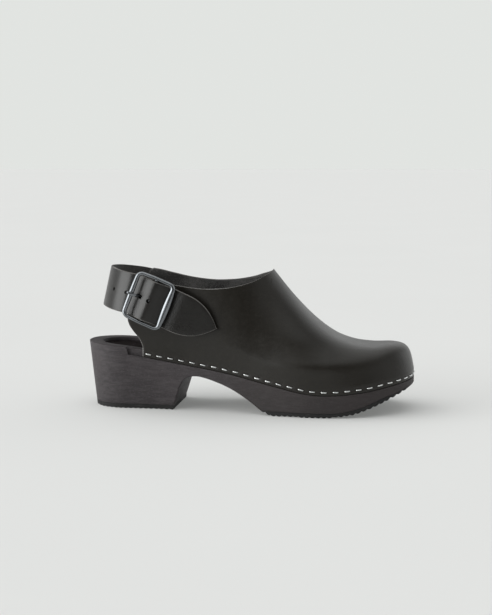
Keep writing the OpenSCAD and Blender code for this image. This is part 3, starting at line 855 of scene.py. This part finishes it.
def staple_piece():
    """Bent wire staples with soft corners, each set a little unevenly."""
    rng = random.Random(7)
    pts, faces = [], []
    bend, reach = 0.62, STAPLE_REACH
    turns = np.radians(np.arange(0, 91, 18))
    arc = [(-reach + bend - bend * math.cos(a), bend - bend * math.sin(a)) for a in turns]
    half = [(-reach, LEG), (-reach, 2.5), (-reach, 1.2)] + arc + [(-0.7, -0.02)]
    profile = half + [(-x, y) for x, y in half[::-1]]
    for centre, angle, slope in PLACES:
        turn = slope + math.radians(rng.uniform(-4.5, 4.5))
        lift = rng.uniform(-0.15, 0.15)
        along = np.array([math.cos(angle) * math.cos(turn), math.sin(angle) * math.cos(turn), math.sin(turn)])
        inward = np.array([-math.sin(angle), math.cos(angle), 0.0])
        up = np.cross(along, inward)
        path = np.array([centre + lift * up + along * x + inward * y for x, y in profile])
        p, f = sweep(path, np.tile(up, (len(path), 1)), 0.47, 0.45, 2.6, 12)
        faces += [tuple(i + sum(len(q) for q in pts) for i in face) for face in f]
        pts.append(p)
    return mesh_object("crown_staples", np.concatenate(pts), faces, [STAPLE], sharp=50)


staples = staple_piece()
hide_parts("upper_staples")
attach(staples, "shoe")

# ---- heel strap
# the strap's middle, as [s, y, z] at u = 0, 1, 2 and so on
STRAP_MID = list(enumerate([
    [105.8, -37.4, 64.1], [97, -37.9, 67.7], [88, -38.6, 71.3], [78, -38.9, 75.3], [68.4, -37.8, 79.2],
    [61.6, -39.6, 81.9], [54.7, -41.5, 84.6], [48, -37.8, 87], [41.7, -33.1, 88.9], [35, -31.8, 90.1],
    [27, -26.4, 91.4], [19.8, -16.5, 92.5], [15.6, -5.5, 93], [15.6, 6, 92.8], [19, 17.5, 92],
    [26, 28.2, 90.4], [34, 33.6, 88.8], [44, 34.7, 86.4], [56, 34, 83.4], [68, 34, 79.8],
    [80, 34, 76.2], [92, 34, 72.6]]))
STRAP_TILT = [[0, 22], [7, 22], [9, 16], [12, 12.7], [16, 13.5], [18, 16.6], [21, 16.6]]
STRAP_W, STRAP_T, STRAP_LAST, LEAF_L, ROUND_L, HOLE_D = 31.0, 2.0, 21.0, 3.2, 1.1, 3.0
STRAP_HOLES = (6.0, 8.85, 10.2)
# the two rivets share the strap's pivot; the buckle turns on its centre bar
JOINTS = {j["name"]: np.round(np.array(j["pos_m"]) / MM, 3) for j in frame["record"]["behaviour"]["joints"]}
BAR, PIVOT = JOINTS["buckle_tilt"], JOINTS["strap_swing"][[0, 2]]
SLOPE, YAW = math.radians(22), math.radians(5)
FRAME_L, FRAME_W, FRAME_D, BAR_D, FRAME_OUT, TONGUE_W = 32.5, 39.0, 3.4, 2.6, 2.4, 2.4
RIVET_R, RIVET_HOLE_R, ACROSS = 2.0, 2.05, [0, 1.0, 0]
SLOPE_M = np.array([[math.cos(SLOPE), 0, math.sin(SLOPE)], [0, 1, 0], [-math.sin(SLOPE), 0, math.cos(SLOPE)]])
YAW_M = np.array([[math.cos(YAW), math.sin(YAW), 0], [-math.sin(YAW), math.cos(YAW), 0], [0, 0, 1]])


def at_bar(p):
    """From the bar's own axes, with z along it, to the shoe's."""
    return BAR + SLOPE_M @ np.asarray(p, float)


def at_frame(p):
    """The same for the frame, which is turned a little in the strap."""
    return BAR + SLOPE_M @ YAW_M @ np.asarray(p, float)


def strap_centre(u):
    """Middle of the strap at u, from its pointed end, 0, round the heel to its riveted end."""
    return curve(STRAP_MID, u) - np.array([L / 2, 0, 0])


def strap_across(u):
    a = np.radians(curve(STRAP_TILT, u))
    return np.stack([np.sin(a), np.zeros_like(a), np.cos(a)], -1)


def strap_out(u):
    """Direction across the strap's thickness, towards the foot."""
    u = np.clip(u, 0.05, STRAP_LAST - 0.05)
    return unit(np.cross(strap_centre(u + 0.05) - strap_centre(u - 0.05), strap_across(u)))


def strap_half(u):
    leaf = 1 - (1 - np.clip(u / LEAF_L, 0, 1)) ** 2.3
    return np.maximum(0.3, STRAP_W / 2 * leaf * cap((STRAP_LAST - u) / ROUND_L, 2.5))


def strap_piece():
    near = np.array([0, 0.015, 0.04, 0.08, 0.13, 0.2, 0.28, 0.37, 0.46, 0.56, 0.67, 0.78, 0.89])
    u = np.concatenate([near, np.arange(1, 20, 0.0625), STRAP_LAST - near[::-1]])
    c, w, n, h = strap_centre(u), strap_across(u), strap_out(u), strap_half(u)
    flats = np.linspace(-1, 1, 29)
    corner = np.radians(np.arange(0, 91, 22.5))
    pts = []
    dip = [0.5 * max(0, abs(a) - 0.8) for a in flats]
    for i in range(len(u)):
        r = min(EDGE_R, 0.8 * h[i])
        flat = [(a * (h[i] - r), 1 - d) for a, d in zip(flats, dip)]
        edge = [(h[i] - r + r * math.sin(a), 1 - EDGE_R + EDGE_R * math.cos(a) - 0.1) for a in corner[1:]]
        ring = flat + edge + [(x, -y) for x, y in edge[::-1]] + [(x, -y) for x, y in flat[::-1]]
        ring += [(-x, -y) for x, y in edge] + [(-x, y) for x, y in edge[::-1]]
        pts.append([c[i] + w[i] * a + n[i] * b * STRAP_T / 2 for a, b in ring])
    around, last = len(pts[0]), (len(u) - 1) * len(pts[0])
    # the face towards the foot is the flesh side, the outer one is smooth
    flat, edge = len(flats) - 1, 2 * len(corner) - 1
    face_mats = ([1] * flat + [2] * edge + [0] * flat + [2] * edge) * (len(u) - 1) + [2, 2]
    faces = grid_faces(len(u), around, closed=True)
    faces += [tuple(range(around)), tuple(last + k for k in range(around))]
    ob = mesh_object("strap_leather", np.array(pts).reshape(-1, 3), faces, [STRAP_SKIN, SUEDE, STRAP_EDGE],
                     face_mats, sharp=45)
    cutters = []
    for k, q in enumerate(STRAP_HOLES):
        o, n0 = strap_centre(np.array([q]))[0], strap_out(np.array([q]))[0]
        side = unit(np.cross(n0, [0, 0, 1.0]))
        cutters.append(rod(f"cut_{k}", [o - 4 * n0, o, o + 4 * n0], side, HOLE_D / 2, [HOLE_EDGE], 32))
    slot = [(-3.6, 1.5), (-4.2, -1), (-6.7, -3.2), (-8.9, -6.5), (-12.6, -6.5), (-11.5, -2), (-9.5, 3.5)]
    cutters.append(prism("cut_slot", slot, 1.45, at_frame, [HOLE_EDGE]))
    cutters.append(rivet_hole((30, 34, 38), HOLE_EDGE))
    return apply_booleans(ob, cutters, sharp=45)


def rivet_hole(ys, mat):
    """Cutter for a rivet's hole, through the given y."""
    return rod("cut_rivet", [[PIVOT[0], y, PIVOT[1]] for y in ys], [0, 0, 1.0], RIVET_HOLE_R, [mat])


strap = strap_piece()
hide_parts("heel_strap")
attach(strap, "strap")


# ---- buckle
def to_frame(points):
    return np.array([at_frame(p) for p in points])


def buckle_piece():
    """A frame whose long bars are bowed and widest in the middle, with a plain centre bar."""
    r, c = FRAME_D / 2, 4.0
    hl, hw = FRAME_L / 2 - r, FRAME_W / 2 - r

    def on_corner(sign, b):
        """Point of a rounded corner at angle b."""
        x, z = sign[0] * (hl - c) + c * math.cos(b), sign[1] * (hw - c) + c * math.sin(b)
        return np.array([x, -FRAME_OUT, z])

    path = []
    corners = ((1, 1), (-1, 1), (-1, -1), (1, -1))
    for k, sign in enumerate(corners):
        path += [on_corner(sign, a + k * math.pi / 2) for a in np.radians(np.arange(0, 91, 7.5))]
        a, b = path[-1], on_corner(corners[(k + 1) % 4], (k + 1) * math.pi / 2)
        path += [a * (1 - t) + b * t for t in np.linspace(0, 1, 22)[1:-1]]
    path = np.array(path)
    bow = np.clip(1 - (path[:, 2] / (hw - 0.5)) ** 2, 0, 1) * (np.abs(path[:, 0]) > hl - 0.6)
    front = path[:, 0] > 0
    long_bar = smooth((np.abs(path[:, 0]) - (hl - c)) / c)
    wide = 1.3 + 0.2 * long_bar + bow * np.where(front, 1.15, 0.4)
    deep = 1.45 + 0.12 * bow
    path[:, 0] += np.sign(path[:, 0]) * bow * np.where(front, 0.1, 0.05)
    # the rear bar is slightly shorter
    path[:, 2] *= 1 - 0.03 * smooth(-path[:, 0] / hl)
    p, f = sweep(path, np.tile(ACROSS, (len(path), 1)), deep, wide, 2.25, 32, closed=True)
    ob = mesh_object("buckle_ring", to_frame(p), f, [BUCKLE], sharp=60)
    ends = [[0, 0, z] for z in np.linspace(-hw, hw, 9)]
    p, f = sweep(ends, np.tile(ACROSS, (len(ends), 1)), BAR_D / 2, BAR_D / 2, 2, 32)
    bar = mesh_object("buckle_bar", to_frame(p), f, [BUCKLE], sharp=60)
    return apply_booleans(ob, [bar], "UNION", 60)


buckle = buckle_piece()
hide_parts("buckle_frame")
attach(buckle, "buckle")


def tongue_piece():
    """A bent prong on an eye round the centre bar."""
    points = [[0, [-0.9, 0.75, 0]], [1, [-4.0, 1.15, 0]], [2, [-7.0, 0.85, 0]], [3, [-9.2, -1.5, 0]],
              [4, [-11.4, -4.1, 0]], [5, [-13.6, -4.95, 0]], [6, [-16.2, -5.05, 0]], [6.6, [-17.15, -5.0, 0]]]
    thick = [[0, 1.0], [1, 0.95], [2, 0.8], [3, 0.7], [4, 0.62], [5, 0.66], [6, 0.62], [6.4, 0.5], [6.6, 0.2]]
    wide = [[0, 1.18], [2, 1.15], [4, 1.05], [6, 0.98], [6.4, 0.7], [6.6, 0.25]]
    u = np.concatenate([np.linspace(0, 6, 61), np.linspace(6.05, 6.6, 12)])
    p, f = sweep(curve(points, u), np.tile(ACROSS, (len(u), 1)), curve(thick, u), curve(wide, u), 2.6, 24)
    prong = mesh_object("tongue_prong", to_frame(p), f, [BUCKLE], sharp=60)
    a = np.linspace(0, 2 * math.pi, 48, endpoint=False)
    ring = np.stack([1.85 * np.cos(a), 1.85 * np.sin(a), 0 * a], 1)
    p, f = sweep(ring, ring, 0.47, 1.2, 3.2, 20, closed=True)
    eye = mesh_object("buckle_pin", to_frame(p), f, [BUCKLE], sharp=60)
    return apply_booleans(eye, [prong], "UNION", 60)


tongue = tongue_piece()
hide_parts("buckle_tongue")
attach(tongue, "tongue")

CHAPE_Y, CHAPE_T, CHAPE_W = -34.0, 1.2, 18.0


def chape_piece():
    """Folded leather round the buckle's bar, riveted to the quarter."""
    inner_y, outer_y = CHAPE_Y - BAR[1], CHAPE_Y - BAR[1] - 2 * CHAPE_T
    outline = [(33, inner_y), (8, inner_y), (3.5, 2.75), (1.2, 2.6)]
    outline += [(2.5 * math.cos(a), 2.5 * math.sin(a)) for a in np.radians(np.arange(75, 286, 15))]
    outline += [(1.2, -2.1), (3.2, -1.45), (9, outer_y), (33, outer_y)]
    ob = prism("chape_leather", outline, CHAPE_W / 2, at_bar, [STRAP_SKIN, CUT_EDGE],
               [1, 1] + [0] * len(outline), 30)
    bevel = ob.modifiers.new("bevel", "BEVEL")
    bevel.width, bevel.segments = 0.35 * MM, 3
    bevel.limit_method, bevel.angle_limit = "ANGLE", math.radians(50)
    ob.data = bpy.data.meshes.new_from_object(ob.evaluated_get(bpy.context.evaluated_depsgraph_get()))
    ob.modifiers.clear()
    square = ((-6, -6), (6, -6), (6, 6), (-6, 6))
    cutters = [rod("cut_bar", [at_bar((0, 0, z)) for z in (-20, 0, 20)], ACROSS, BAR_D / 2 + 0.05, [SUEDE]),
               prism("cut_slot", square, (TONGUE_W + 1) / 2, at_bar, [CUT_EDGE]),
               rivet_hole((-40, -36, -32), CUT_EDGE)]
    return apply_booleans(ob, cutters)


chape = chape_piece()
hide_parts("buckle_chape")
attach(chape, "strap")

# ---- rivets, nails and toe puff
# y of the strap's outer face at its rivet, of the chape's outer face, and of the quarters' inner faces there
STRAP_Y, CHAPE_OUT, IN_LEFT, IN_RIGHT = 34 + STRAP_T / 2, CHAPE_Y - 2 * CHAPE_T, -29.8, 29.4
HEAD_R, HEAD_H = 4.6, 0.8


def head(y_flat, y_top):
    """Profile of a low domed rivet head from its flat side to its crown."""
    d = y_top - y_flat
    rim = [(0.0, 0.0), (0.97, 0.0), (1.0, 0.12), (1.0, 0.3), (0.97, 0.5)]
    rim += [(q, 0.5 + 0.5 * math.sqrt(1 - (q / 0.97) ** 2)) for q in (0.9, 0.75, 0.55, 0.3, 0.0)]
    return [(HEAD_R * q, y_flat + d * h) for q, h in rim]


def shank(y_end, y_head, y_top):
    """Profile of a rivet: its shank from y_end to its head."""
    return [(0, y_end), (RIVET_R, y_end), (RIVET_R, y_head)] + head(y_head, y_top)[1:]


for name, node, profile in (
        ("rivet_outer", "chape_rivet", shank(CHAPE_OUT - 0.7, IN_LEFT, IN_LEFT + HEAD_H)),
        ("rivet_outer_cap", "chape_rivet_cap", head(CHAPE_OUT - 0.1, CHAPE_OUT - 0.8)),
        ("rivet_inner", "strap_rivet", shank(STRAP_Y + 0.8, IN_RIGHT, IN_RIGHT - HEAD_H)),
        ("rivet_inner_cap", "strap_rivet_cap", head(STRAP_Y + 0.1, STRAP_Y + 1.0))):
    rivet = lathe(name, profile, PIVOT, [BUCKLE])
    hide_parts(node)
    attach(rivet, "shoe")

# these CAD nodes keep their shape
for name, mat in (("toe_puff", BOARD), ("outsole_nails", NAIL), ("top_lift_nails", NAIL)):
    ob = frame["nodes"][name]
    ob.data.materials.clear()
    ob.data.materials.append(mat)

# ---- floor, light and camera
TARGET = Vector((-3.31, 0.0, 76.18)) * MM
AZIMUTH, ELEVATION, DISTANCE, FOCAL_PX = math.radians(7.82), math.radians(6.41), 0.977, 1265.0
PHOTO_H, SENSOR = 615.0, 36.0
BACKGROUND = (0.757, 0.776, 0.754)
FLOOR_TONE = (0.548, 0.546, 0.540)
FLOOR_FRONT, FLOOR_LEFT = -0.55, -0.3


def floor_piece():
    """Pale seamless paper that glows faintly, painted light that keeps its shadows light."""
    n = Nodes("studio_floor")
    mottle = n.noise(n.coords(), 3, 2, 0.5)
    tone = n.mix(n.ramp(mottle, 0.3, 0.7), FLOOR_TONE, [c * 1.01 for c in FLOOR_TONE])
    # a faint glow in the background colour: painted light that lightens the shadows on the floor
    mat = n.surface(tone, 0.9, Specular_IOR_Level=0.0, Emission_Color=BACKGROUND, Emission_Strength=0.2)
    xs = [-60, -16, -4, -1, FLOOR_LEFT, 0, 0.3, 1, 4, 16, 60]
    ys = [-60, -16, -4, -1, FLOOR_FRONT, -0.3, 0, 0.3, 1, 4, 16, 60]
    metres = [(x, y) for y in ys for x in xs]
    pts = [[x / MM, y / MM, 0] for x, y in metres]
    faces = grid_faces(len(ys), len(xs))

    def in_front(f):
        """Paper before the object or by the softbox at the front left: it is seen, but throws no light."""
        return all(y <= FLOOR_FRONT or (x <= FLOOR_LEFT and y <= 0) for x, y in (metres[i] for i in f))

    for name, near in (("studio_floor", False), ("studio_floor_front", True)):
        floor = mesh_object(name, pts, [f for f in faces if in_front(f) == near], [mat])
        if floor.data.polygons[0].normal.z < 0:
            floor.data.flip_normals()
        floor.location.z = -0.00002
        if near:
            floor.visible_diffuse = floor.visible_glossy = floor.visible_shadow = False


floor_piece()


def world():
    """Studio light by direction; the camera itself sees an even background."""
    w = bpy.data.worlds.new("studio")
    scene.world = w
    n = Nodes("studio", world=w)
    geo = n.add("TexCoord")
    xyz = n.add("SeparateXYZ", Vector=geo.outputs["Generated"])
    x, y, z = xyz.outputs
    overhead = n.add("VectorMath", operation="DOT_PRODUCT", i0=geo.outputs["Generated"],
                     i1=(-0.24, -0.22, 0.945)).outputs["Value"]
    # a soft box overhead, a light from behind, a tall strip at the front left and a weak one on the right
    top = n.ramp(overhead, 0.45, 0.97, 0, 1.15)
    back = n.math("MULTIPLY", n.ramp(y, -0.05, 0.7, 0, 0.68), n.ramp(z, -0.3, 0.1))
    strip = n.math("MULTIPLY", n.ramp(x, -0.42, -0.72, 0, 4.8), n.ramp(y, 0.28, -0.2))
    strip = n.math("MULTIPLY", strip, n.math("MULTIPLY", n.ramp(z, -0.35, -0.1), n.ramp(z, 0.62, 0.25)))
    right = n.math("MULTIPLY", n.ramp(x, 0.45, 0.9, 0, 0.6), n.ramp(z, -0.15, 0.1))
    total = n.math("ADD", n.math("ADD", top, back), n.math("ADD", n.math("ADD", strip, right), 0.05))
    light = n.add("Background", Strength=total)
    n.put(light, "Color", (0.985, 1.0, 0.995))
    seen = n.add("Background", Color=BACKGROUND, Strength=1.0)
    path = n.add("LightPath")
    mix = n.add("MixShader")
    n.put(mix, "i0", path.outputs["Is Camera Ray"])
    n.put(mix, "i1", light.outputs[0])
    n.put(mix, "i2", seen.outputs[0])
    n.add("OutputWorld", Surface=mix.outputs[0])


world()


def aimed(name, data, towards):
    """A light or camera that looks back along the given direction."""
    ob = bpy.data.objects.new(name, data)
    ob.rotation_mode = "QUATERNION"
    ob.rotation_quaternion = (-Vector(towards)).to_track_quat("-Z", "Y")
    scene.collection.objects.link(ob)
    return ob


sun = bpy.data.lights.new("key", "SUN")
sun.energy, sun.angle = 0.6, math.radians(45)
aimed("key", sun, (-0.70, 0.12, 0.70))

lens = bpy.data.cameras.new("camera")
lens.sensor_width = SENSOR
lens.sensor_fit = "AUTO"
lens.lens = FOCAL_PX * SENSOR / PHOTO_H
lens.clip_start, lens.clip_end = 0.01, 200
level = math.cos(ELEVATION)
back = Vector((math.sin(AZIMUTH) * level, -math.cos(AZIMUTH) * level, math.sin(ELEVATION)))
camera = aimed("camera", lens, back)
camera.location = TARGET + DISTANCE * back
scene.camera = camera
scene.view_settings.view_transform = "Standard"
